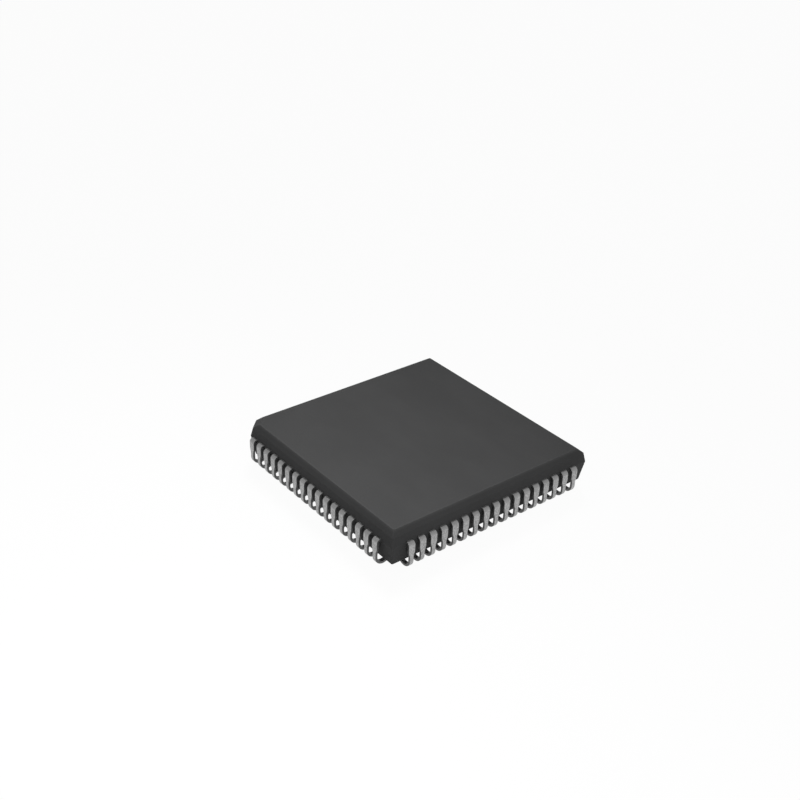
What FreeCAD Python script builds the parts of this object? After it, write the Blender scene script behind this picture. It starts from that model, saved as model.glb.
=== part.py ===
"""Square plastic chip carrier with J-bent leads on all four sides.

Millimetres, +Z up. The origin is the middle of the board plane, where the J bends rest.
Each side is drawn once as the side that faces -Y, in a local frame of r (distance out
from the middle) and s (distance along the side), and is then turned round +Z.
"""
import FreeCAD
import Part
import math
import os

from FreeCAD import Vector

# Lead rows
LEADS_PER_SIDE = 17
LEAD_PITCH = 1.27
LEAD_THICKNESS = 0.25
SHOULDER_WIDTH = 0.72
FOOT_WIDTH = 0.44
LEAD_REACH = 0.46
SHOULDER_INNER_RADIUS = 0.13
CURL_OUTER_RADIUS = 0.90
CURL_TURN_UP_DEG = 80.0
TAPER_TOP_DROP = 0.95
TAPER_LENGTH = 0.70
FLATS_PER_SHOULDER = 3
FLATS_PER_CURL_DOWN = 4
FLATS_PER_CURL_UP = 3

# Moulded body
CORNER_MARGIN = 1.955
STANDOFF = 0.70
LOWER_DEPTH = 2.12
UPPER_DEPTH = 1.38
LOWER_DRAFT = 0.34
UPPER_DRAFT = 0.18
TOP_BEVEL_WIDTH = 0.50
TOP_BEVEL_HEIGHT = 0.45
SMALL_CHAMFER = 0.10
INDEX_CHAMFER = 1.07

# Pockets in the underside that take the tips of the curls
POCKET_TIP_CLEARANCE = 0.12
POCKET_SIDE_CLEARANCE = 0.09
POCKET_END_CLEARANCE = 0.10

# Lead frame inside the body
NECK_DEPTH = 0.85
FINGER_TIP_WIDTH = 0.24
PAD_TO_FINGER_GAP = 0.50
FAN_CORNER_ROOM = 0.90
PAD_DOWNSET = 0.25
TIE_BAR_WIDTH = 0.30
TIE_BAR_STEP_START = 0.35
TIE_BAR_STEP_LENGTH = 0.45
TIE_BAR_COVER = 0.35

# Silicon die, its bond film and the bond wires
DIE_SIZE = 7.00
DIE_THICKNESS = 0.38
PAD_MARGIN = 1.30
FILM_THICKNESS = 0.04
FILM_FILLET = 0.08
WIRE_THICKNESS = 0.04
WIRE_LOOP_HEIGHT = 0.22
WIRE_DIE_INSET = 0.14
WIRE_DIE_CORNER_ROOM = 0.40
WIRE_FOOT_INSET = 0.30

# Levels
FRAME_MID_Z = STANDOFF + LOWER_DEPTH
FRAME_LOW_Z = FRAME_MID_Z - LEAD_THICKNESS / 2
FRAME_TOP_Z = FRAME_MID_Z + LEAD_THICKNESS / 2
BODY_TOP_Z = FRAME_MID_Z + UPPER_DEPTH
PAD_LOW_Z = FRAME_LOW_Z - PAD_DOWNSET
PAD_TOP_Z = PAD_LOW_Z + LEAD_THICKNESS
DIE_LOW_Z = PAD_TOP_Z + FILM_THICKNESS
DIE_TOP_Z = DIE_LOW_Z + DIE_THICKNESS

# Half widths, measured from the middle
ROW_HALF = (LEADS_PER_SIDE - 1) / 2 * LEAD_PITCH
BODY_HALF = ROW_HALF + CORNER_MARGIN
SHANK_OUTER_R = BODY_HALF + LEAD_REACH
CURL_CENTRE_R = SHANK_OUTER_R - CURL_OUTER_RADIUS
CURL_INNER_RADIUS = CURL_OUTER_RADIUS - LEAD_THICKNESS
SHOULDER_OUTER_RADIUS = SHOULDER_INNER_RADIUS + LEAD_THICKNESS
NECK_R = BODY_HALF - NECK_DEPTH
PAD_HALF = DIE_SIZE / 2 + PAD_MARGIN
FINGER_TIP_R = PAD_HALF + PAD_TO_FINGER_GAP
FINGER_ROW_HALF = FINGER_TIP_R - FAN_CORNER_ROOM
WIRE_START_R = DIE_SIZE / 2 - WIRE_DIE_INSET
WIRE_ROW_HALF = WIRE_START_R - WIRE_DIE_CORNER_ROOM
WIRE_END_R = FINGER_TIP_R + WIRE_FOOT_INSET

SIDE_TURN_DEG = {"front": 0, "right": 90, "back": 180, "left": 270}


def side_point(r, s, z):
    """Turn local row coordinates into the part's frame for the side that faces -Y."""
    return Vector(s, -r, z)


def face_from(points):
    """Make a flat face inside a closed loop of points."""
    return Part.Face(Part.makePolygon(points + [points[0]]))


def turned(shape, degrees):
    """Copy a shape, turned round the vertical axis."""
    copy = shape.copy()
    copy.rotate(Vector(0, 0, 0), Vector(0, 0, 1), degrees)
    return copy


def spread(index, half):
    """Place of one lead of a row whose end leads lie at minus and plus half."""
    return half * (2 * index / (LEADS_PER_SIDE - 1) - 1)


def bend(centre_r, centre_z, radius, start_deg, end_deg, flats):
    """Points round a bend in equal short flats, with 0 degrees outwards and 90 down.

    A lead is repeated many times, so its bends are flats instead of curved faces.
    """
    points = []
    for step in range(flats + 1):
        angle = math.radians(start_deg + (end_deg - start_deg) * step / flats)
        r = centre_r + radius * math.cos(angle)
        z = centre_z - radius * math.sin(angle)
        points.append(side_point(r, -SHOULDER_WIDTH / 2, z))
    return points


def j_curl(radius):
    """Points of one face of the curl, from the shank round the bottom to the tip."""
    tip_deg = 90 + CURL_TURN_UP_DEG
    down = bend(CURL_CENTRE_R, CURL_OUTER_RADIUS, radius, 0, 90, FLATS_PER_CURL_DOWN)
    up = bend(CURL_CENTRE_R, CURL_OUTER_RADIUS, radius, 90, tip_deg, FLATS_PER_CURL_UP)
    return down + up[1:]


def lead_strip():
    """Formed strip of one lead: neck, shoulder bend, shank and J curl, of full width."""
    shoulder_r = SHANK_OUTER_R - SHOULDER_OUTER_RADIUS
    shoulder_z = FRAME_TOP_Z - SHOULDER_OUTER_RADIUS
    outline = [side_point(NECK_R, -SHOULDER_WIDTH / 2, FRAME_TOP_Z)]
    outline += bend(shoulder_r, shoulder_z, SHOULDER_OUTER_RADIUS, -90, 0, FLATS_PER_SHOULDER)
    outline += j_curl(CURL_OUTER_RADIUS)
    outline += reversed(j_curl(CURL_INNER_RADIUS))
    outline += bend(shoulder_r, shoulder_z, SHOULDER_INNER_RADIUS, 0, -90, FLATS_PER_SHOULDER)
    outline += [side_point(NECK_R, -SHOULDER_WIDTH / 2, FRAME_LOW_Z)]
    return face_from(outline).extrude(Vector(SHOULDER_WIDTH, 0, 0))


def cheek(side):
    """Waste beside the foot of a lead: below the taper the strip is trimmed narrower."""
    wide = side * SHOULDER_WIDTH / 2
    narrow = side * FOOT_WIDTH / 2
    beyond = side * SHOULDER_WIDTH
    below = -LEAD_THICKNESS
    taper_top = FRAME_TOP_Z - TAPER_TOP_DROP
    taper_low = taper_top - TAPER_LENGTH
    start_r = SHANK_OUTER_R + LEAD_THICKNESS
    depth = 2 * (CURL_OUTER_RADIUS + LEAD_THICKNESS)
    outline = [
        side_point(start_r, wide, taper_top),
        side_point(start_r, narrow, taper_low),
        side_point(start_r, narrow, below),
        side_point(start_r, beyond, below),
        side_point(start_r, beyond, taper_top),
    ]
    return face_from(outline).extrude(Vector(0, depth, 0))


def finger_middle(index, r):
    """Place along the side of a finger's middle line, r out from the middle of the part."""
    outer_s = spread(index, ROW_HALF)
    tip_s = spread(index, FINGER_ROW_HALF)
    return tip_s + (outer_s - tip_s) * (r - FINGER_TIP_R) / (NECK_R - FINGER_TIP_R)


def inner_finger(index):
    """Flat finger inside the body, tapering from the neck of a lead in to its tip."""
    outline = []
    for r, width in ((NECK_R, SHOULDER_WIDTH), (FINGER_TIP_R, FINGER_TIP_WIDTH)):
        middle = finger_middle(index, r)
        outline.append(side_point(r, middle - width / 2, FRAME_LOW_Z))
        outline.insert(0, side_point(r, middle + width / 2, FRAME_LOW_Z))
    return face_from(outline).extrude(Vector(0, 0, LEAD_THICKNESS))


def front_leads():
    """All leads of the side that faces -Y, each one solid from curl to inner tip."""
    strip = lead_strip().cut([cheek(-1), cheek(1)])
    leads = []
    for index in range(LEADS_PER_SIDE):
        outside = strip.copy()
        outside.translate(Vector(spread(index, ROW_HALF), 0, 0))
        leads.append(outside.fuse(inner_finger(index)).removeSplitter().Solids[0])
    return leads


def corner_chamfers():
    """Chamfer of each corner by its signs; the index corner is the one at -X, +Y."""
    return {
        (1, -1): SMALL_CHAMFER,
        (1, 1): SMALL_CHAMFER,
        (-1, 1): INDEX_CHAMFER,
        (-1, -1): SMALL_CHAMFER,
    }


def body_outline(half, z):
    """Square outline with its four corners cut, as a closed wire."""
    points = []
    for (sign_x, sign_y), cut in corner_chamfers().items():
        on_x_side = Vector(sign_x * half, sign_y * (half - cut), z)
        on_y_side = Vector(sign_x * (half - cut), sign_y * half, z)
        if sign_x * sign_y < 0:
            points += [on_y_side, on_x_side]
        else:
            points += [on_x_side, on_y_side]
    return Part.makePolygon(points + [points[0]])


def moulding_blank():
    """Outer form of the body: two drafted halves that meet at the parting line.

    The upper half stands steep, and its top edge is bevelled all round.
    """
    underside = body_outline(BODY_HALF - LOWER_DRAFT, STANDOFF)
    parting = body_outline(BODY_HALF, FRAME_MID_Z)
    bevel_foot_half = BODY_HALF - UPPER_DRAFT
    bevel_foot = body_outline(bevel_foot_half, BODY_TOP_Z - TOP_BEVEL_HEIGHT)
    top = body_outline(bevel_foot_half - TOP_BEVEL_WIDTH, BODY_TOP_Z)
    return Part.makeLoft([underside, parting, bevel_foot, top], True, True)


def tip_pockets():
    """Pockets of one side that let the curl tips turn up into the underside."""
    turn_up = math.radians(CURL_TURN_UP_DEG)
    tip_top = CURL_OUTER_RADIUS - CURL_INNER_RADIUS * math.cos(turn_up)
    inner_end = CURL_CENTRE_R - CURL_OUTER_RADIUS * math.sin(turn_up) - POCKET_END_CLEARANCE
    drop = CURL_OUTER_RADIUS - STANDOFF
    strip_cross = CURL_CENTRE_R - math.sqrt(CURL_INNER_RADIUS ** 2 - drop ** 2)
    length = strip_cross + POCKET_END_CLEARANCE - inner_end
    width = FOOT_WIDTH + 2 * POCKET_SIDE_CLEARANCE
    depth = tip_top + POCKET_TIP_CLEARANCE - STANDOFF
    pockets = []
    for index in range(LEADS_PER_SIDE):
        middle = spread(index, ROW_HALF)
        corner = side_point(inner_end + length, middle - width / 2, STANDOFF)
        pockets.append(Part.makeBox(width, length, depth, corner))
    return pockets


def centred_plate(half, low_z, thickness):
    """Square plate about the vertical axis."""
    return Part.makeBox(2 * half, 2 * half, thickness, Vector(-half, -half, low_z))


def tie_bar(sign_x, sign_y, chamfer):
    """Bar from a corner of the pad out along the diagonal, stepped up to the lead level."""
    start = (PAD_HALF - TIE_BAR_WIDTH) * math.sqrt(2)
    step = PAD_HALF * math.sqrt(2) + TIE_BAR_STEP_START
    end = (2 * BODY_HALF - chamfer) / math.sqrt(2) - TIE_BAR_COVER
    side_view = [
        (start, PAD_LOW_Z),
        (step, PAD_LOW_Z),
        (step + TIE_BAR_STEP_LENGTH, FRAME_LOW_Z),
        (end, FRAME_LOW_Z),
        (end, FRAME_TOP_Z),
        (step + TIE_BAR_STEP_LENGTH, FRAME_TOP_Z),
        (step, PAD_TOP_Z),
        (start, PAD_TOP_Z),
    ]
    outline = [Vector(distance, -TIE_BAR_WIDTH / 2, z) for distance, z in side_view]
    bar = face_from(outline).extrude(Vector(0, TIE_BAR_WIDTH, 0))
    return turned(bar, math.degrees(math.atan2(sign_y, sign_x)))


def die_pad():
    """Sunken square pad and its four tie bars, stamped as one piece."""
    pad = centred_plate(PAD_HALF, PAD_LOW_Z, LEAD_THICKNESS)
    bars = [tie_bar(x, y, cut) for (x, y), cut in corner_chamfers().items()]
    return pad.fuse(bars).removeSplitter().Solids[0]


def bond_wire(index):
    """One bond wire of the front side: up from the die, over, and down to the finger."""
    start = side_point(WIRE_START_R, spread(index, WIRE_ROW_HALF), 0)
    end = side_point(WIRE_END_R, finger_middle(index, WIRE_END_R), 0)
    length = (end - start).Length
    peak_z = DIE_TOP_Z + WIRE_LOOP_HEIGHT
    slope = (peak_z - FRAME_TOP_Z) / length
    thickness_down = WIRE_THICKNESS * math.hypot(1, slope)
    side_view = [
        (0, DIE_TOP_Z),
        (0, peak_z),
        (length, FRAME_TOP_Z),
        (length - thickness_down / slope, FRAME_TOP_Z),
        (WIRE_THICKNESS, peak_z - slope * WIRE_THICKNESS - thickness_down),
        (WIRE_THICKNESS, DIE_TOP_Z),
    ]
    outline = [Vector(distance, -WIRE_THICKNESS / 2, z) for distance, z in side_view]
    wire = face_from(outline).extrude(Vector(0, WIRE_THICKNESS, 0))
    direction = end - start
    wire = turned(wire, math.degrees(math.atan2(direction.y, direction.x)))
    wire.translate(start)
    return wire


def all_sides(pieces):
    """Copies of one side's pieces for all four sides, by side name."""
    return {
        name: [turned(piece, degrees) for piece in pieces]
        for name, degrees in SIDE_TURN_DEG.items()
    }


def build():
    """Make every piece and return the shapes by node name."""
    leads = all_sides(front_leads())
    wires = all_sides([bond_wire(index) for index in range(LEADS_PER_SIDE)])
    pockets = all_sides(tip_pockets())
    pad = die_pad()
    film = centred_plate(DIE_SIZE / 2 + FILM_FILLET, PAD_TOP_Z, FILM_THICKNESS)
    die = centred_plate(DIE_SIZE / 2, DIE_LOW_Z, DIE_THICKNESS)

    hollows = [pad, film, die]
    for group in (leads, wires, pockets):
        for side in group.values():
            hollows += side
    nodes = {"moulded_body": moulding_blank().cut(hollows)}
    for name, side in leads.items():
        nodes["leads_" + name] = Part.makeCompound(side)
    nodes["die_pad"] = pad
    nodes["die_bond_film"] = film
    nodes["silicon_die"] = die
    for name, side in wires.items():
        nodes["bond_wires_" + name] = Part.makeCompound(side)
    return nodes


def export(nodes):
    """Write one file per node."""
    os.makedirs("parts", exist_ok=True)
    for name, shape in nodes.items():
        shape.exportStep("parts/" + name + ".step")
        print(name, len(shape.Solids), "solids", round(shape.Volume, 4), "mm3")


export(build())
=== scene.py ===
"""Square plastic chip carrier with J leads, dressed and set on a pale studio floor.

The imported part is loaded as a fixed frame, in metres. New pieces are drawn in millimetres
in the part's own frame and are brought to metres when they are finished.
"""

import logging
import math
from dataclasses import dataclass
from enum import Enum
from typing import Any, Iterable, Union

import bmesh
import bpy
from bmesh.types import BMEdge, BMFace, BMVert
from mathutils import Matrix, Vector


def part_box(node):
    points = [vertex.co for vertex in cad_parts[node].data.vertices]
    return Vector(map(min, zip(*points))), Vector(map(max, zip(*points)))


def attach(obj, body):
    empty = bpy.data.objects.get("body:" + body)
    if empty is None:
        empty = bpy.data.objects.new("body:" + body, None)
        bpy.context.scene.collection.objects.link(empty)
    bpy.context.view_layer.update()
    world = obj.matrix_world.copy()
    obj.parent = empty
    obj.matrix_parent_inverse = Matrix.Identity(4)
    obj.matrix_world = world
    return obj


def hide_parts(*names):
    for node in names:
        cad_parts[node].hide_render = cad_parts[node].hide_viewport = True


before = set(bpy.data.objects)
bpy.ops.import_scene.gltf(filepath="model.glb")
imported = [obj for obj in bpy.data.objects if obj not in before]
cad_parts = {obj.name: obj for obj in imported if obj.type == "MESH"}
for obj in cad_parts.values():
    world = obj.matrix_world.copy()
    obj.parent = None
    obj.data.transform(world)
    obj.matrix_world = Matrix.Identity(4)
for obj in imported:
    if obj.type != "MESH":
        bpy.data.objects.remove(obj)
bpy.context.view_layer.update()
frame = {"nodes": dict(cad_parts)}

Colour = tuple[float, float, float, float]
Triple = tuple[float, float, float]
Pair = tuple[float, float]
Weights = tuple[float, ...]

MM = 0.001
WHITE: Colour = (1.0, 1.0, 1.0, 1.0)

# Distances in a drawing, in millimetres
SAME_PLACE = 1e-4
SAME_POINT = 1e-5

# In degrees
RIGHT_ANGLE = 90.0

# Numbers of the Mix node's sockets that carry colours
MIX_LOW, MIX_HIGH, MIX_RESULT = 6, 7, 2

log = logging.getLogger("chip_carrier")


class Side(Enum):
    """The four sides of the carrier, with the turn that brings the front side to each."""

    FRONT = 0
    RIGHT = 90
    BACK = 180
    LEFT = 270

    @property
    def label(self) -> str:
        """Plain name, as the ends of the frame's node names have it."""
        return self.name.lower()

    @property
    def turn(self) -> Matrix:
        """Rotation about the vertical axis from the front side to this one."""
        return Matrix.Rotation(math.radians(self.value), 4, "Z")


class BevelMeasure(Enum):
    """How the size of a bevel is measured, as the bevel operator names it."""

    SQUARE_TO_EDGE = "OFFSET"
    ALONG_NEIGHBOURS = "ABSOLUTE"


def grey(level: float) -> Colour:
    """Neutral colour of one linear level."""
    return (level, level, level, 1.0)


# Shader maths


@dataclass(frozen=True)
class Pattern:
    """Noise of a real size.

    Its blotches are about size_mm apart, with detail octaves of finer noise in them.
    They are drawn out along an axis whose factor in stretch is small.
    """

    size_mm: float
    detail: float
    stretch: Triple = (1.0, 1.0, 1.0)


class Value:
    """One output socket, wrapped so that shader maths reads as plain expressions."""

    def __init__(self, tree: "ShaderTree", socket: bpy.types.NodeSocket) -> None:
        """Keep the tree that the socket belongs to, for the nodes that follow it."""
        self.tree = tree
        self.socket = socket

    def _math(self, operation: str, *terms: "Input") -> "Value":
        """Add one Math node.

        Args:
            operation: The node's operation.
            terms: Its inputs, in order.

        Returns:
            The node's result.
        """
        settings = {"operation": operation}
        return self.tree.value("ShaderNodeMath", settings, dict(enumerate(terms)))

    def __add__(self, other: "Input") -> "Value":
        """Sum."""
        return self._math("ADD", self, other)

    def __radd__(self, other: "Input") -> "Value":
        """Sum, with the plain number first."""
        return self._math("ADD", other, self)

    def __rsub__(self, other: "Input") -> "Value":
        """Difference from a plain number."""
        return self._math("SUBTRACT", other, self)

    def __mul__(self, other: "Input") -> "Value":
        """Product."""
        return self._math("MULTIPLY", self, other)

    def __rmul__(self, other: "Input") -> "Value":
        """Product, with the plain number first."""
        return self._math("MULTIPLY", other, self)

    def __abs__(self) -> "Value":
        """Size without its sign."""
        return self._math("ABSOLUTE", self)

    def larger(self, other: "Input") -> "Value":
        """The larger of two values."""
        return self._math("MAXIMUM", self, other)

    def rise(self, low: float, high: float) -> "Value":
        """Smooth step from 0 at low to 1 at high.

        Args:
            low: Where the step starts.
            high: Where it ends.

        Returns:
            The step.
        """
        settings = {"interpolation_type": "SMOOTHSTEP"}
        sockets = {"Value": self, "From Min": low, "From Max": high}
        return self.tree.value("ShaderNodeMapRange", settings, sockets)

    def between(self, low: float, high: float) -> "Value":
        """Straight line from low, where this value is 0, to high, where it is 1.

        Args:
            low: The result at 0.
            high: The result at 1.

        Returns:
            The result.
        """
        return low + (high - low) * self

    def stretch(self, factors: Triple) -> "Value":
        """Multiply a place by three factors.

        Args:
            factors: One factor for each axis.

        Returns:
            The stretched place.
        """
        settings = {"operation": "MULTIPLY"}
        return self.tree.value("ShaderNodeVectorMath", settings, {0: self, 1: factors})


Input = Union[Value, float, tuple]


class ShaderTree:
    """Node tree of one material or of the world, filled by plain calls."""

    def __init__(self, owner: Union[bpy.types.Material, bpy.types.World]) -> None:
        """Empty the owner's node tree and keep it."""
        owner.use_nodes = True
        self.nodes = owner.node_tree.nodes
        self.links = owner.node_tree.links
        self.nodes.clear()

    def node(
        self, kind: str, settings: dict[str, Any], sockets: dict[Union[str, int], Input]
    ) -> bpy.types.Node:
        """Add one node of any kind.

        Args:
            kind: The node's type.
            settings: Its own settings.
            sockets: Values or links of its inputs, by name or number.

        Returns:
            The node.
        """
        made = self.nodes.new(kind)
        for name, setting in settings.items():
            setattr(made, name, setting)
        for key, term in sockets.items():
            if isinstance(term, Value):
                self.links.new(term.socket, made.inputs[key])
            else:
                made.inputs[key].default_value = term
        return made

    def value(
        self,
        kind: str,
        settings: dict[str, Any],
        sockets: dict[Union[str, int], Input],
        output: Union[str, int] = 0,
    ) -> Value:
        """Add one node and wrap one of its outputs.

        Args:
            kind: The node's type.
            settings: Its own settings.
            sockets: Values or links of its inputs.
            output: The wanted output, by name or number.

        Returns:
            The output.
        """
        return Value(self, self.node(kind, settings, sockets).outputs[output])

    def place(self) -> Value:
        """Object coordinates, in metres."""
        return self.value("ShaderNodeTexCoord", {}, {}, "Object")

    def axes(self, place: Value) -> tuple[Value, Value, Value]:
        """Split a place into its three axes.

        Args:
            place: The place.

        Returns:
            X, Y and Z.
        """
        split = self.node("ShaderNodeSeparateXYZ", {}, {0: place})
        x, y, z = (Value(self, output) for output in split.outputs)
        return x, y, z

    def noise(self, place: Value, pattern: Pattern) -> Value:
        """Noise from 0 to 1.

        Args:
            place: Where it is read, in metres.
            pattern: Its size and detail.

        Returns:
            The noise.
        """
        scale = 1.0 / (pattern.size_mm * MM)
        where = place.stretch(pattern.stretch)
        sockets = {"Vector": where, "Scale": scale, "Detail": pattern.detail}
        return self.value("ShaderNodeTexNoise", {}, sockets)

    def weighted(self, terms: Iterable[Value], weights: Weights) -> Value:
        """Sum of some values, each times its own weight.

        Args:
            terms: The values.
            weights: As many weights, in the same order.

        Returns:
            The sum.
        """
        first, *others = (term * weight for term, weight in zip(terms, weights))
        return sum(others, first)

    def blend(self, factor: Input, low: Input, high: Input) -> Value:
        """Mix two colours.

        Args:
            factor: Share of the second colour.
            low: The colour at 0.
            high: The colour at 1.

        Returns:
            The mixed colour.
        """
        settings = {"data_type": "RGBA"}
        sockets = {0: factor, MIX_LOW: low, MIX_HIGH: high}
        return self.value("ShaderNodeMix", settings, sockets, MIX_RESULT)

    def relief(self, height: Value, depth_mm: float) -> Value:
        """Surface normal of a fine relief.

        Args:
            height: Height of the relief, from 0 to 1.
            depth_mm: How deep the relief is at a height of 1.

        Returns:
            The normal.
        """
        sockets = {"Height": height, "Distance": depth_mm * MM, "Strength": 1.0}
        return self.value("ShaderNodeBump", {}, sockets)

    def shown_white(self) -> Value:
        """1 for camera, glossy and transmission rays, and 0 for the rest."""
        rays = self.node("ShaderNodeLightPath", {}, {}).outputs
        seen = Value(self, rays["Is Camera Ray"])
        seen = seen.larger(Value(self, rays["Is Glossy Ray"]))
        return seen.larger(Value(self, rays["Is Transmission Ray"]))

    def surface(self, kind: str, sockets: dict[Union[str, int], Input]) -> None:
        """Add a surface shader and link it to the output.

        Args:
            kind: The shader node's type.
            sockets: Values or links of its inputs.
        """
        shader = self.value(kind, {}, sockets)
        self.node("ShaderNodeOutputMaterial", {}, {"Surface": shader})


# Finishes


@dataclass(frozen=True)
class Finish:
    """What every finish has: a name and a way to make its material.

    In every finish a step gives where a noise starts and ends its rise, and other pairs
    give the results where it is lowest and highest. Weights go by the order of the
    noises in draw. What roughening gives is added to the roughness.
    """

    name: str

    def material(self) -> bpy.types.Material:
        """Make the material and fill its node tree."""
        made = bpy.data.materials.new(self.name)
        self.draw(ShaderTree(made))
        return made

    def draw(self, tree: ShaderTree) -> None:
        """Fill the node tree."""
        raise NotImplementedError


@dataclass(frozen=True)
class MouldingCompound(Finish):
    """Matte dark epoxy with the mould's fine grain, faint flow marks and a paler rim."""

    rim_half: float
    rim_top: float
    dark: Colour = (0.0371, 0.0373, 0.0377, 1.0)
    pale: Colour = (0.0480, 0.0482, 0.0487, 1.0)
    rim: Colour = (0.0650, 0.0652, 0.0658, 1.0)
    rim_width: float = 0.22
    rim_past: float = 0.055
    rim_wear: Pair = (0.35, 0.85)
    flow: Pattern = Pattern(5.0, 4.0, (1.0, 0.55, 1.0))
    flow_step: Pair = (0.30, 0.70)
    grain: Pattern = Pattern(0.16, 3.0)
    specks: Pattern = Pattern(0.05, 1.0)
    tone_shares: Weights = (0.55, 0.45)
    relief_shares: Weights = (0.6, 0.4)
    relief_mm: float = 0.017
    roughness: float = 0.56
    roughening: Weights = (0.12, 0.06)
    gloss: float = 0.11

    def draw(self, tree: ShaderTree) -> None:
        """Fill the node tree."""
        place = tree.place()
        x, y, z = tree.axes(place)
        flow = tree.noise(place, self.flow).rise(*self.flow_step)
        grain = tree.noise(place, self.grain)
        specks = tree.noise(place, self.specks)
        reach = abs(x).larger(abs(y))
        outer = (self.rim_half + self.rim_past) * MM
        near_edge = reach.rise((self.rim_half - self.rim_width) * MM, outer)
        near_top = z.rise((self.rim_top - self.rim_width) * MM, self.rim_top * MM)
        wear = near_edge * near_top * grain.between(*self.rim_wear)
        tone = tree.weighted((flow, grain), self.tone_shares)
        body_colour = tree.blend(tone, self.dark, self.pale)
        relief = tree.weighted((grain, specks), self.relief_shares)
        tree.surface("ShaderNodeBsdfPrincipled", {
            "Base Color": tree.blend(wear, body_colour, self.rim),
            "Roughness": self.roughness + tree.weighted((grain, specks), self.roughening),
            "Specular IOR Level": self.gloss,
            "Normal": tree.relief(relief, self.relief_mm),
        })


@dataclass(frozen=True)
class TinPlate(Finish):
    """Satin tin over copper: mottled, with drag marks, and bare copper inside the body.

    The faces that the stamping tool sheared carry the attribute "sheared", and are darker:
    partly the duller torn metal, partly painted shade on the leads' side faces.
    The top of the shoulder is darkened: painted shade for how the light falls on it, with
    some dulling where the forming tool stretched the plating. It is at full strength
    stretch_and_shade_above the lead frame's underside and fades out stretch_and_shade_below
    it.
    """

    plated_from: float
    frame_low: float
    dull: Colour = grey(0.24)
    bright: Colour = grey(0.44)
    # Sheared faces: duller torn metal, darkened further as painted shade
    torn_and_shade: Colour = grey(0.095)
    # Darker tone of the shoulder's top: painted shade, with some dulling of the stretched
    # plating
    stretch_and_shade: Colour = grey(0.215)
    stretch_and_shade_below: float = 0.20
    stretch_and_shade_above: float = 0.22
    stretch_and_shade_cover: Pair = (0.85, 1.10)
    torn_and_shade_cover: Pair = (0.75, 1.0)
    copper: Colour = (0.70, 0.34, 0.20, 1.0)
    plating_edge: float = 0.20
    mottle: Pattern = Pattern(0.13, 2.0)
    mottle_step: Pair = (0.34, 0.66)
    fine: Pattern = Pattern(0.05, 2.0)
    drag: Pattern = Pattern(0.06, 2.0, (1.0, 1.0, 0.10))
    tone_shares: Weights = (0.8, 0.2)
    relief_shares: Weights = (0.4, 0.3, 0.3)
    relief_mm: float = 0.006
    roughness: float = 0.34
    roughening: Weights = (0.14, 0.08, 0.12)

    def draw(self, tree: ShaderTree) -> None:
        """Fill the node tree."""
        place = tree.place()
        x, y, z = tree.axes(place)
        mottle = tree.noise(place, self.mottle)
        fine = tree.noise(place, self.fine)
        drag = tree.noise(place, self.drag)
        sheared = tree.value("ShaderNodeAttribute", {"attribute_name": "sheared"}, {}, "Fac")
        tone = tree.weighted((mottle.rise(*self.mottle_step), drag), self.tone_shares)
        reach = abs(x).larger(abs(y))
        start = (self.plated_from - self.plating_edge) * MM
        below = 1.0 - z.rise((self.frame_low - self.plating_edge) * MM, self.frame_low * MM)
        plated = reach.rise(start, self.plated_from * MM).larger(below)
        stretch_and_shade_low = (self.frame_low - self.stretch_and_shade_below) * MM
        crown = z.rise(stretch_and_shade_low, (self.frame_low + self.stretch_and_shade_above) * MM)
        tin_before_shade = tree.blend(tone, self.dull, self.bright)
        # Painted shade: the shoulder's top is darkened for how light falls on it, with some
        # real dulling of the stretched plating
        tin = tree.blend(crown * mottle.between(*self.stretch_and_shade_cover), tin_before_shade, self.stretch_and_shade)
        # Painted shade: the sheared side faces are darkened beyond the duller torn metal
        outside = tree.blend(sheared * fine.between(*self.torn_and_shade_cover), tin, self.torn_and_shade)
        rougher = tree.weighted((mottle, fine, sheared), self.roughening)
        relief = tree.weighted((fine, drag, mottle), self.relief_shares)
        tree.surface("ShaderNodeBsdfPrincipled", {
            "Base Color": tree.blend(plated, self.copper, outside),
            "Metallic": 1.0,
            "Roughness": self.roughness + rougher,
            "Normal": tree.relief(relief, self.relief_mm),
        })


@dataclass(frozen=True)
class StampedCopper(Finish):
    """Copper alloy strip of the pad: rolled grain and faint tarnish."""

    fresh: Colour = (0.78, 0.40, 0.25, 1.0)
    tarnished: Colour = (0.48, 0.24, 0.15, 1.0)
    tarnish: Pattern = Pattern(1.4, 4.0)
    tarnish_step: Pair = (0.4, 0.7)
    rolled: Pattern = Pattern(0.06, 2.0, (0.05, 1.0, 1.0))
    relief_mm: float = 0.004
    roughness: float = 0.28
    roughening: Weights = (0.20, 0.10)

    def draw(self, tree: ShaderTree) -> None:
        """Fill the node tree."""
        place = tree.place()
        tarnish = tree.noise(place, self.tarnish)
        rolled = tree.noise(place, self.rolled)
        tone = tarnish.rise(*self.tarnish_step)
        tree.surface("ShaderNodeBsdfPrincipled", {
            "Base Color": tree.blend(tone, self.fresh, self.tarnished),
            "Metallic": 1.0,
            "Roughness": self.roughness + tree.weighted((tarnish, rolled), self.roughening),
            "Normal": tree.relief(rolled, self.relief_mm),
        })


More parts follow.
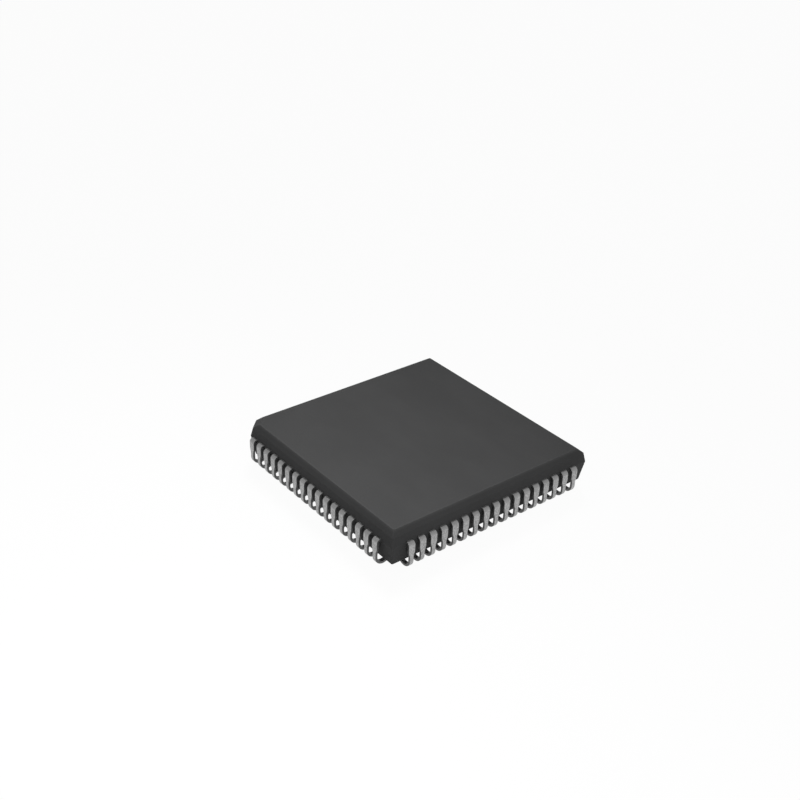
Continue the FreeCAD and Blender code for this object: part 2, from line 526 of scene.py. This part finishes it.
@dataclass(frozen=True)
class FilledEpoxy(Finish):
    """Bond film: epoxy packed with silver flakes."""

    resin: Colour = (0.42, 0.40, 0.36, 1.0)
    silver: Colour = (0.72, 0.71, 0.69, 1.0)
    silver_metallic: float = 0.8
    flakes: Pattern = Pattern(0.03, 1.0)
    flake_step: Pair = (0.50, 0.62)
    lumps: Pattern = Pattern(0.30, 3.0)
    relief_shares: Weights = (0.7, 0.3)
    relief_mm: float = 0.006
    roughness: Pair = (0.62, 0.37)

    def draw(self, tree: ShaderTree) -> None:
        """Fill the node tree."""
        place = tree.place()
        flakes = tree.noise(place, self.flakes).rise(*self.flake_step)
        lumps = tree.noise(place, self.lumps)
        relief = tree.weighted((lumps, flakes), self.relief_shares)
        tree.surface("ShaderNodeBsdfPrincipled", {
            "Base Color": tree.blend(flakes, self.resin, self.silver),
            "Metallic": flakes * self.silver_metallic,
            "Roughness": flakes.between(*self.roughness),
            "Normal": tree.relief(relief, self.relief_mm),
        })


@dataclass(frozen=True)
class Silicon(Finish):
    """Die: dark polished silicon whose face carries blocks and lines of thin metal."""

    bare: Colour = (0.055, 0.060, 0.075, 1.0)
    metal: Colour = (0.30, 0.29, 0.27, 1.0)
    dense_block: Colour = grey(0.0)
    open_block: Colour = grey(0.45)
    block_mm: float = 0.55
    gap_mm: float = 0.02
    lines: Pattern = Pattern(0.02, 0.0, (0.08, 1.0, 1.0))
    line_gain: Pair = (0.5, 1.5)
    wiring_step: Pair = (0.2, 0.9)
    wiring_metallic: float = 0.7
    relief_mm: float = 0.001
    roughness: Pair = (0.12, 0.27)

    def draw(self, tree: ShaderTree) -> None:
        """Fill the node tree."""
        place = tree.place()
        bricks = {
            "Vector": place,
            "Scale": 1.0,
            "Color1": self.dense_block,
            "Color2": self.open_block,
            "Mortar": WHITE,
            "Mortar Size": self.gap_mm * MM,
            "Brick Width": self.block_mm * MM,
            "Row Height": self.block_mm / 2 * MM,
        }
        blocks = tree.value("ShaderNodeTexBrick", {}, bricks)
        lines = tree.noise(place, self.lines)
        wiring = (blocks * lines.between(*self.line_gain)).rise(*self.wiring_step)
        tree.surface("ShaderNodeBsdfPrincipled", {
            "Base Color": tree.blend(wiring, self.bare, self.metal),
            "Metallic": wiring * self.wiring_metallic,
            "Roughness": lines.between(*self.roughness),
            "Normal": tree.relief(blocks, self.relief_mm),
        })


@dataclass(frozen=True)
class DrawnGold(Finish):
    """Fine gold wire with the marks of its drawing die."""

    gold: Colour = (0.95, 0.66, 0.24, 1.0)
    shade: Colour = (0.80, 0.52, 0.17, 1.0)
    marks: Pattern = Pattern(0.03, 2.0)
    relief_mm: float = 0.001
    roughness: Pair = (0.18, 0.30)

    def draw(self, tree: ShaderTree) -> None:
        """Fill the node tree."""
        marks = tree.noise(tree.place(), self.marks)
        tree.surface("ShaderNodeBsdfPrincipled", {
            "Base Color": tree.blend(marks, self.shade, self.gold),
            "Metallic": 1.0,
            "Roughness": marks.between(*self.roughness),
            "Normal": tree.relief(marks, self.relief_mm),
        })


@dataclass(frozen=True)
class StudioFloor(Finish):
    """White floor that keeps a soft shadow and shows white to the camera and in gloss.

    A white_share of what is seen is plain white, and the rest is seen_paint under the
    lamps. The duller paint is what lights the part from below.
    """

    white_share: float = 0.95
    seen_paint: float = 0.97
    paint: float = 0.50
    mottle: float = 0.02
    cloud: Pattern = Pattern(60.0, 2.0)

    def draw(self, tree: ShaderTree) -> None:
        """Fill the node tree."""
        seen = tree.shown_white()
        cloud = tree.noise(tree.place(), self.cloud)
        low = grey(self.paint - self.mottle)
        paint = tree.blend(cloud, low, grey(self.paint))
        shown = tree.blend(seen, paint, grey(self.seen_paint))
        matte = tree.value("ShaderNodeBsdfDiffuse", {}, {"Color": shown})
        glow = tree.value("ShaderNodeEmission", {}, {"Color": WHITE, "Strength": 1.0})
        tree.surface("ShaderNodeMixShader", {0: seen * self.white_share, 1: matte, 2: glow})


# Pieces


@dataclass(frozen=True)
class CarrierSizes:
    """Sizes in millimetres that the pieces share; the outer ones are read from the frame."""

    body_half: float
    standoff: float
    body_top: float
    shank_outer: float
    leads_per_side: int = 17
    pitch: float = 1.27
    strip: float = 0.25
    upper_depth: float = 1.38
    foot_width: float = 0.44
    curl_radius: float = 0.90
    turn_up_deg: float = 80.0
    plating_depth: float = 0.40

    @classmethod
    def from_frame(cls) -> "CarrierSizes":
        """Read the outer sizes from the boxes of the frame's nodes."""
        body_low, body_high = (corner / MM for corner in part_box("moulded_body"))
        leads_low, _ = (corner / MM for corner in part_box("leads_front"))
        return cls(body_high.x, body_low.z, body_high.z, -leads_low.y)

    @property
    def parting_z(self) -> float:
        """Height of the parting line, which is the middle of the lead frame."""
        return self.body_top - self.upper_depth

    @property
    def frame_low(self) -> float:
        """Height of the lead frame's underside where it leaves the body."""
        return self.parting_z - self.strip / 2

    @property
    def plated_from(self) -> float:
        """Distance out from which the lead frame is plated."""
        return self.body_half - self.plating_depth

    @property
    def row_half(self) -> float:
        """Distance from the middle of a row to its end lead."""
        return (self.leads_per_side - 1) / 2 * self.pitch

    @property
    def curl_centre(self) -> float:
        """Distance out to the centre of the curl."""
        return self.shank_outer - self.curl_radius

    def spread(self, index: int, half: float) -> float:
        """Place of one lead along its side.

        Args:
            index: Number of the lead, from 0.
            half: Distance from the middle to the end lead.

        Returns:
            The distance along the side.
        """
        return half * (2 * index / (self.leads_per_side - 1) - 1)


def in_scene(name: str, data: bpy.types.ID) -> bpy.types.Object:
    """Make an object of a mesh, a lamp or a camera, and link it to the scene.

    Args:
        name: Name of the object.
        data: What it shows.

    Returns:
        The object.
    """
    made = bpy.data.objects.new(name, data)
    bpy.context.scene.collection.objects.link(made)
    return made


def corner_places(item: Union[BMEdge, BMFace]) -> list[tuple[float, ...]]:
    """Places of the corners of an edge or a face, in a fixed order."""
    return sorted(tuple(vert.co) for vert in item.verts)


def settle_order(bm: bmesh.types.BMesh) -> None:
    """Number a drawing's elements by place, so that every run gives the same mesh.

    Args:
        bm: The drawing.
    """
    orders = (
        (bm.verts, lambda vert: tuple(vert.co)),
        (bm.edges, corner_places),
        (bm.faces, corner_places),
    )
    for elements, place in orders:
        for index, element in enumerate(sorted(elements, key=place)):
            element.index = index
        elements.sort()


def finished(
    bm: bmesh.types.BMesh, name: str, finish: Finish, sharp_deg: float
) -> bpy.types.Object:
    """Turn a drawing in millimetres into a dressed object in metres.

    Args:
        bm: The drawing, which is freed.
        name: Name of the piece.
        finish: What it is made of.
        sharp_deg: Edges that turn by more than this stay sharp.

    Returns:
        The object, in the scene.
    """
    bmesh.ops.remove_doubles(bm, verts=bm.verts, dist=SAME_POINT)
    bmesh.ops.recalc_face_normals(bm, faces=bm.faces)
    for face in bm.faces:
        face.smooth = True
    for edge in bm.edges:
        edge.smooth = edge.calc_face_angle(math.pi) < math.radians(sharp_deg)
    bmesh.ops.transform(bm, matrix=Matrix.Scale(MM, 4), verts=bm.verts)
    settle_order(bm)
    mesh = bpy.data.meshes.new(name)
    bm.to_mesh(mesh)
    bm.free()
    mesh.materials.append(finish.material())
    return in_scene(name, mesh)


class PushedSolid:
    """A solid drawn by pushing its end face along, with the faces between left behind."""

    def __init__(self, bm: bmesh.types.BMesh, width: float, depth: float) -> None:
        """Start with a flat rectangle about the origin that faces up.

        Args:
            bm: The drawing.
            width: Size along X.
            depth: Size along Y.
        """
        self.bm = bm
        corners = bmesh.ops.create_grid(bm, x_segments=1, y_segments=1, size=0.5)["verts"]
        bmesh.ops.scale(bm, vec=(width, depth, 1.0), verts=corners)
        self.face: BMFace = corners[0].link_faces[0]

    def place(self, middle: Vector, turn_deg: float = 0.0) -> None:
        """Bring the first rectangle to where the solid starts.

        Args:
            middle: Its middle.
            turn_deg: Its turn about X.
        """
        turn = Matrix.Rotation(math.radians(turn_deg), 4, "X")
        move = Matrix.Translation(middle) @ turn
        bmesh.ops.transform(self.bm, matrix=move, verts=self.face.verts)

    def push(self, move: Vector, widen: Triple = (1.0, 1.0, 1.0)) -> None:
        """Push the end face along a straight line.

        Args:
            move: How far it goes.
            widen: Factors by which it grows about its own middle on the way.
        """
        made = bmesh.ops.extrude_face_region(self.bm, geom=[self.face])["geom"]
        self.face = next(item for item in made if isinstance(item, BMFace))
        verts = list(self.face.verts)
        bmesh.ops.translate(self.bm, vec=move, verts=verts)
        space = Matrix.Translation(-self.face.calc_center_median())
        bmesh.ops.scale(self.bm, vec=widen, space=space, verts=verts)

    def bend(self, centre: Vector, degrees: float, steps: int) -> None:
        """Carry the end face round a line that runs along X.

        Args:
            centre: A point of that line.
            degrees: How far it turns.
            steps: In how many steps.
        """
        region = [self.face, *self.face.edges, *self.face.verts]
        made = bmesh.ops.spin(
            self.bm, geom=region, cent=centre, axis=(1.0, 0.0, 0.0),
            angle=math.radians(degrees), steps=steps, use_duplicate=False,
        )["geom_last"]
        self.face = next(item for item in made if isinstance(item, BMFace))


@dataclass
class LeadRow:
    """Row of formed leads: flat fingers fanned in to the die, shoulders and J curls."""

    sizes: CarrierSizes
    shoulder_width: float = 0.72
    shoulder_radius: float = 0.13
    neck_depth: float = 0.85
    finger_tip_width: float = 0.24
    finger_tip_r: float = 5.30
    fan_corner_room: float = 0.90
    taper_top_drop: float = 0.95
    taper_length: float = 0.70
    shoulder_steps: int = 10
    taper_steps: int = 10
    curl_steps: int = 28
    sheared_share: float = 0.5
    edge_radius: float = 0.035
    edge_segments: int = 2
    edge_limit_deg: float = 50.0
    sharp_deg: float = 180.0

    def finger(self, strip: PushedSolid, index: int) -> None:
        """Draw the flat finger inside the body, from its tip out to the neck.

        Args:
            strip: The lead being drawn.
            index: Number of the lead.
        """
        sizes = self.sizes
        tip_s = sizes.spread(index, self.finger_tip_r - self.fan_corner_room)
        outer_s = sizes.spread(index, sizes.row_half)
        neck_r = sizes.body_half - self.neck_depth
        strip.place(Vector((tip_s, -self.finger_tip_r, sizes.parting_z)), RIGHT_ANGLE)
        reach = self.finger_tip_r - neck_r
        widen = self.shoulder_width / self.finger_tip_width
        strip.push(Vector((outer_s - tip_s, reach, 0.0)), (widen, 1.0, 1.0))
        shoulder_r = sizes.shank_outer - sizes.strip - self.shoulder_radius
        strip.push(Vector((0.0, neck_r - shoulder_r, 0.0)))

    def shank(self, strip: PushedSolid) -> None:
        """Draw the shoulder bend, the shank and its taper down to the foot's width.

        Args:
            strip: The lead being drawn.
        """
        sizes = self.sizes
        centre_r = sizes.shank_outer - sizes.strip - self.shoulder_radius
        centre_z = sizes.frame_low - self.shoulder_radius
        strip.bend(Vector((0.0, -centre_r, centre_z)), RIGHT_ANGLE, self.shoulder_steps)
        taper_top = sizes.parting_z + sizes.strip / 2 - self.taper_top_drop
        strip.push(Vector((0.0, 0.0, taper_top - centre_z)))
        width = self.shoulder_width
        for step in range(1, self.taper_steps + 1):
            share = (1 - math.cos(math.pi * step / self.taper_steps)) / 2
            wanted = self.shoulder_width + (sizes.foot_width - self.shoulder_width) * share
            move = Vector((0.0, 0.0, -self.taper_length / self.taper_steps))
            strip.push(move, (wanted / width, 1.0, 1.0))
            width = wanted
        strip.push(Vector((0.0, 0.0, sizes.curl_radius - taper_top + self.taper_length)))

    def curl(self, strip: PushedSolid) -> None:
        """Draw the J curl, round under the body and up to the tip.

        Args:
            strip: The lead being drawn.
        """
        sizes = self.sizes
        centre = Vector((0.0, -sizes.curl_centre, sizes.curl_radius))
        strip.bend(centre, RIGHT_ANGLE + sizes.turn_up_deg, self.curl_steps)

    def mark_sheared(self, bm: bmesh.types.BMesh) -> None:
        """Mark the faces that the stamping tool cut, which face along the row.

        Args:
            bm: The drawing of the front row.
        """
        sheared = bm.faces.layers.float.new("sheared")
        bm.normal_update()
        for face in bm.faces:
            face[sheared] = float(abs(face.normal.x) > self.sheared_share)

    def build(self, side: Side, finish: Finish) -> bpy.types.Object:
        """Make the row of one side.

        Args:
            side: Which side.
            finish: What the leads are made of.

        Returns:
            The row, as one object.
        """
        bm = bmesh.new()
        for index in range(self.sizes.leads_per_side):
            strip = PushedSolid(bm, self.finger_tip_width, self.sizes.strip)
            self.finger(strip, index)
            self.shank(strip)
            self.curl(strip)
        self.mark_sheared(bm)
        bmesh.ops.transform(bm, matrix=side.turn, verts=bm.verts)
        row = finished(bm, "j_leads_" + side.label, finish, self.sharp_deg)
        rounding = row.modifiers.new("rounded edges", "BEVEL")
        rounding.width = self.edge_radius * MM
        rounding.segments = self.edge_segments
        rounding.limit_method = "ANGLE"
        rounding.angle_limit = math.radians(self.edge_limit_deg)
        rounding.harden_normals = True
        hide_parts("leads_" + side.label)
        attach(row, "root")
        return row


@dataclass
class Moulding:
    """Body of two drafted halves with a bevelled top, cut corners and tip pockets."""

    sizes: CarrierSizes
    lower_draft: float = 0.34
    upper_draft: float = 0.18
    top_bevel_width: float = 0.50
    top_bevel_height: float = 0.45
    small_chamfer: float = 0.10
    index_chamfer: float = 1.07
    edge_radius: float = 0.05
    edge_segments: int = 3
    sharp_deg: float = 40.0
    flash_height: float = 0.035
    flash_proud: float = 0.012
    flash_lean: float = 0.004375
    pocket_tip_clearance: float = 0.12
    pocket_side_clearance: float = 0.09
    pocket_end_clearance: float = 0.10

    @property
    def top_half(self) -> float:
        """Half the width of the flat top, inside its bevel."""
        return self.sizes.body_half - self.upper_draft - self.top_bevel_width

    def blank(self, bm: bmesh.types.BMesh) -> None:
        """Draw the two drafted halves and the top bevel, with sharp corners.

        Args:
            bm: The drawing.
        """
        sizes = self.sizes
        levels = (
            (sizes.body_half, sizes.parting_z),
            (sizes.body_half - self.upper_draft, sizes.body_top - self.top_bevel_height),
            (self.top_half, sizes.body_top),
        )
        half, z = sizes.body_half - self.lower_draft, sizes.standoff
        solid = PushedSolid(bm, 2 * half, 2 * half)
        solid.place(Vector((0.0, 0.0, z)))
        for next_half, next_z in levels:
            out = next_half / half
            solid.push(Vector((0.0, 0.0, next_z - z)), (out, out, 1.0))
            half, z = next_half, next_z

    def cut_corners(self, bm: bmesh.types.BMesh) -> None:
        """Chamfer the four upright corners; the index corner is the one at -X, +Y.

        Args:
            bm: The drawing.
        """
        upright = [edge for edge in bm.edges if not self.is_level(edge)]
        index = [e for e in upright if e.verts[0].co.x < 0 < e.verts[0].co.y]
        plain = [e for e in upright if e not in index]
        bevel_edges(bm, index, self.index_chamfer, 1, BevelMeasure.ALONG_NEIGHBOURS)
        bevel_edges(bm, plain, self.small_chamfer, 1, BevelMeasure.ALONG_NEIGHBOURS)

    @staticmethod
    def is_level(edge: BMEdge) -> bool:
        """Whether both ends of an edge are at one height."""
        return abs(edge.verts[0].co.z - edge.verts[1].co.z) < SAME_PLACE

    def at_parting(self, item: Union[BMEdge, BMFace]) -> bool:
        """Whether all of an edge or a face lies close to the parting line."""
        near = self.flash_height
        return all(abs(v.co.z - self.sizes.parting_z) < near for v in item.verts)

    def round_edges(self, bm: bmesh.types.BMesh) -> None:
        """Round every outer edge but the parting line.

        Args:
            bm: The drawing.
        """
        edges = [edge for edge in bm.edges if not self.at_parting(edge)]
        bevel_edges(bm, edges, self.edge_radius, self.edge_segments)

    def raise_flash(self, bm: bmesh.types.BMesh) -> None:
        """Raise the thin line of flash that the mould leaves where its halves meet.

        Args:
            bm: The drawing.
        """
        line = [edge for edge in bm.edges if self.at_parting(edge)]
        band = bevel_edges(bm, line, self.flash_height / 2, 1)
        bmesh.ops.inset_region(
            bm, faces=band, thickness=self.flash_lean, depth=self.flash_proud,
            use_boundary=True, use_even_offset=True,
        )

    def pocket_ends(self) -> tuple[float, float]:
        """Distances out to the inner and outer ends of the tip pockets."""
        sizes = self.sizes
        turn_up = math.radians(sizes.turn_up_deg)
        inner = sizes.curl_centre - sizes.curl_radius * math.sin(turn_up)
        drop = sizes.curl_radius - sizes.standoff
        inner_radius = sizes.curl_radius - sizes.strip
        outer = sizes.curl_centre - math.sqrt(inner_radius ** 2 - drop ** 2)
        return inner - self.pocket_end_clearance, outer + self.pocket_end_clearance

    def pocket_depth(self) -> float:
        """How deep the pockets go, past the highest point of the tips."""
        sizes = self.sizes
        inner_radius = sizes.curl_radius - sizes.strip
        lift = inner_radius * math.cos(math.radians(sizes.turn_up_deg))
        return sizes.curl_radius - lift + self.pocket_tip_clearance - sizes.standoff

    def underside(self, bm: bmesh.types.BMesh) -> list[BMFace]:
        """Faces of the flat underside."""
        low = self.sizes.standoff
        return [f for f in bm.faces if all(abs(v.co.z - low) < SAME_PLACE for v in f.verts)]

    def sink_pockets(self, bm: bmesh.types.BMesh) -> None:
        """Sink the pockets of all four sides into the underside.

        Args:
            bm: The drawing.
        """
        inner, outer = self.pocket_ends()
        half = self.sizes.foot_width / 2 + self.pocket_side_clearance
        middles = [
            self.sizes.spread(index, self.sizes.row_half)
            for index in range(self.sizes.leads_per_side)
        ]
        for side in Side:
            out = side.turn @ Vector((0.0, -1.0, 0.0))
            along = side.turn @ Vector((1.0, 0.0, 0.0))
            for distance in (inner, outer):
                slice_faces(bm, self.underside(bm), out * distance, out)
            strip = self.faces_between(bm, out, inner, outer)
            for middle in middles:
                for edge in (middle - half, middle + half):
                    strip = slice_faces(bm, strip, along * edge, along)
            floors = [
                face for face in strip
                if any(abs(face.calc_center_median().dot(along) - m) < half for m in middles)
            ]
            made = bmesh.ops.extrude_face_region(bm, geom=floors)["geom"]
            verts = [item for item in made if isinstance(item, BMVert)]
            bmesh.ops.translate(bm, vec=(0.0, 0.0, self.pocket_depth()), verts=verts)

    def faces_between(
        self, bm: bmesh.types.BMesh, out: Vector, inner: float, outer: float
    ) -> list[BMFace]:
        """Faces of the underside whose middles lie in a strip.

        Args:
            bm: The drawing.
            out: Direction across the strip.
            inner: Distance out to its inner edge.
            outer: Distance out to its outer edge.

        Returns:
            The faces.
        """
        return [
            face for face in self.underside(bm)
            if inner < face.calc_center_median().dot(out) < outer
        ]

    def build(self, finish: Finish) -> bpy.types.Object:
        """Make the body.

        Args:
            finish: What it is made of.

        Returns:
            The body.
        """
        bm = bmesh.new()
        self.blank(bm)
        self.cut_corners(bm)
        self.round_edges(bm)
        self.raise_flash(bm)
        self.sink_pockets(bm)
        body = finished(bm, "carrier_moulding", finish, self.sharp_deg)
        shading = body.modifiers.new("flat faces stay flat", "WEIGHTED_NORMAL")
        shading.keep_sharp = True
        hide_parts("moulded_body")
        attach(body, "root")
        return body


def bevel_edges(
    bm: bmesh.types.BMesh,
    edges: Iterable[BMEdge],
    offset: float,
    segments: int,
    measured: BevelMeasure = BevelMeasure.SQUARE_TO_EDGE,
) -> list[BMFace]:
    """Bevel some edges.

    Args:
        bm: The drawing.
        edges: The edges.
        offset: Distance from each edge to where the bevel starts.
        segments: Faces across the bevel.
        measured: How that distance is measured.

    Returns:
        The new faces.
    """
    return bmesh.ops.bevel(
        bm, geom=list(edges), offset=offset, offset_type=measured.value, affect="EDGES",
        segments=segments, profile=0.5, material=-1, clamp_overlap=True,
    )["faces"]


def slice_faces(
    bm: bmesh.types.BMesh, faces: list[BMFace], point: Vector, normal: Vector
) -> list[BMFace]:
    """Cut some faces along a plane.

    Args:
        bm: The drawing.
        faces: The faces.
        point: A point of the plane.
        normal: The plane's normal.

    Returns:
        The faces that they have become.
    """
    edges = dict.fromkeys(edge for face in faces for edge in face.edges)
    verts = dict.fromkeys(vert for face in faces for vert in face.verts)
    made = bmesh.ops.bisect_plane(
        bm, geom=[*verts, *edges, *faces], plane_co=point, plane_no=normal, dist=SAME_POINT
    )["geom"]
    return [item for item in made if isinstance(item, BMFace)]


@dataclass
class InnerParts:
    """Pad, film, die and wires inside the body, which keep their own solids."""

    nodes: dict[str, bpy.types.Object]
    pad: Finish = StampedCopper("stamped_copper")
    film: Finish = FilledEpoxy("silver_filled_epoxy")
    die: Finish = Silicon("silicon")
    wire: Finish = DrawnGold("drawn_gold")

    def dress(self) -> None:
        """Give each inner node its finish."""
        gold = self.wire.material()
        finishes = {
            "die_pad": self.pad.material(),
            "die_bond_film": self.film.material(),
            "silicon_die": self.die.material(),
            **{"bond_wires_" + side.label: gold for side in Side},
        }
        for name, material in finishes.items():
            materials = self.nodes[name].data.materials
            materials.clear()
            materials.append(material)
            log.info("dressed %s in %s", name, material.name)


# Studio


@dataclass(frozen=True)
class PhotoCamera:
    """Camera at the photograph's viewing angle.

    The target is the middle of the part's parting plane. Its place from the camera is
    given to the right, down and forward, and the focal length in the picture's pixels.
    """

    target_z: float
    sensor_mm: float = 36.0
    picture_px: int = 800
    focal_px: float = 1229.0
    turn_deg: float = 39.10
    look_down_deg: float = 30.28
    roll_deg: float = 1.89
    target_right: float = 1.33
    target_down: float = 4.58
    target_ahead: float = 122.74
    clip_near_mm: float = 1.0
    clip_far_mm: float = 10000.0

    def build(self) -> None:
        """Make the camera the scene's camera."""
        turn = Matrix.Rotation(math.radians(self.turn_deg), 3, "Z")
        tilt = Matrix.Rotation(math.radians(RIGHT_ANGLE + self.look_down_deg), 3, "X")
        roll = Matrix.Rotation(math.radians(self.roll_deg), 3, "Z")
        to_view = roll @ tilt @ turn
        offset = Vector((self.target_right, self.target_down, self.target_ahead))
        spot = Vector((0.0, 0.0, self.target_z)) - to_view.transposed() @ offset
        axes = to_view.transposed() @ Matrix.Diagonal((1.0, -1.0, -1.0))
        data = bpy.data.cameras.new("photo_camera")
        data.sensor_width = self.sensor_mm
        data.lens = self.sensor_mm * self.focal_px / self.picture_px
        data.clip_start = self.clip_near_mm * MM
        data.clip_end = self.clip_far_mm * MM
        camera = in_scene("photo_camera", data)
        camera.matrix_world = Matrix.Translation(spot * MM) @ axes.to_4x4()
        bpy.context.scene.camera = camera


@dataclass(frozen=True)
class SoftBox:
    """Square studio lamp, with a grid that narrows its beam where the spread is small.

    Its size, spot and aim are in metres and its power is in watts.
    """

    name: str
    spot: Triple
    size: float
    power: float
    aim: Triple = (0.0, 0.0, 0.0)
    spread_deg: float = 180.0

    def build(self) -> None:
        """Make the lamp."""
        data = bpy.data.lights.new(self.name, "AREA")
        data.shape = "SQUARE"
        data.size = self.size
        data.energy = self.power
        data.spread = math.radians(self.spread_deg)
        lamp = in_scene(self.name, data)
        lamp.location = self.spot
        beam = Vector(self.aim) - Vector(self.spot)
        lamp.rotation_euler = beam.to_track_quat("-Z", "Y").to_euler()


@dataclass
class Studio:
    """Pale floor, soft light and camera."""

    sizes: CarrierSizes
    floor_half_m: float = 1.5
    floor_cells: int = 8
    room_light: float = 0.361
    lamps: tuple[SoftBox, ...] = (
        SoftBox(
            "back_lamp", spot=(0.054, 0.078, 0.129), size=0.06, power=0.0217,
            aim=(-0.056, -0.030, 0.0), spread_deg=40.0,
        ),
        SoftBox("front_lamp", spot=(-0.065, -0.131, 0.064), size=0.08, power=0.0784),
    )

    def floor(self) -> None:
        """Lay the floor that the leads stand on."""
        bm = bmesh.new()
        cells = self.floor_cells
        bmesh.ops.create_grid(bm, x_segments=cells, y_segments=cells, size=self.floor_half_m)
        mesh = bpy.data.meshes.new("studio_floor")
        bm.to_mesh(mesh)
        bm.free()
        mesh.materials.append(StudioFloor("studio_floor").material())
        floor = in_scene("studio_floor", mesh)

    def world(self) -> None:
        """Light the room evenly, and show it white to the camera and in gloss."""
        world = bpy.data.worlds.new("studio_world")
        bpy.context.scene.world = world
        tree = ShaderTree(world)
        strength = self.room_light + (1.0 - self.room_light) * tree.shown_white()
        sky = tree.value("ShaderNodeBackground", {}, {"Color": WHITE, "Strength": strength})
        tree.node("ShaderNodeOutputWorld", {}, {"Surface": sky})

    def build(self) -> None:
        """Set up the studio."""
        self.floor()
        self.world()
        for lamp in self.lamps:
            lamp.build()
        PhotoCamera(self.sizes.parting_z).build()
        bpy.context.scene.view_settings.view_transform = "Standard"


def main() -> None:
    """Build the pieces, dress the inner parts and set up the studio."""
    logging.basicConfig(level=logging.INFO, format="%(name)s: %(message)s")
    sizes = CarrierSizes.from_frame()
    moulding = Moulding(sizes)
    compound = MouldingCompound("moulding_compound", moulding.top_half, sizes.body_top)
    body = moulding.build(compound)
    log.info("built %s with %d faces", body.name, len(body.data.polygons))
    tin = TinPlate("satin_tin", sizes.plated_from, sizes.frame_low)
    rows = LeadRow(sizes)
    for side in Side:
        row = rows.build(side, tin)
        log.info("built %s with %d faces", row.name, len(row.data.polygons))
    InnerParts(frame["nodes"]).dress()
    Studio(sizes).build()


if __name__ == "__main__":
    main()
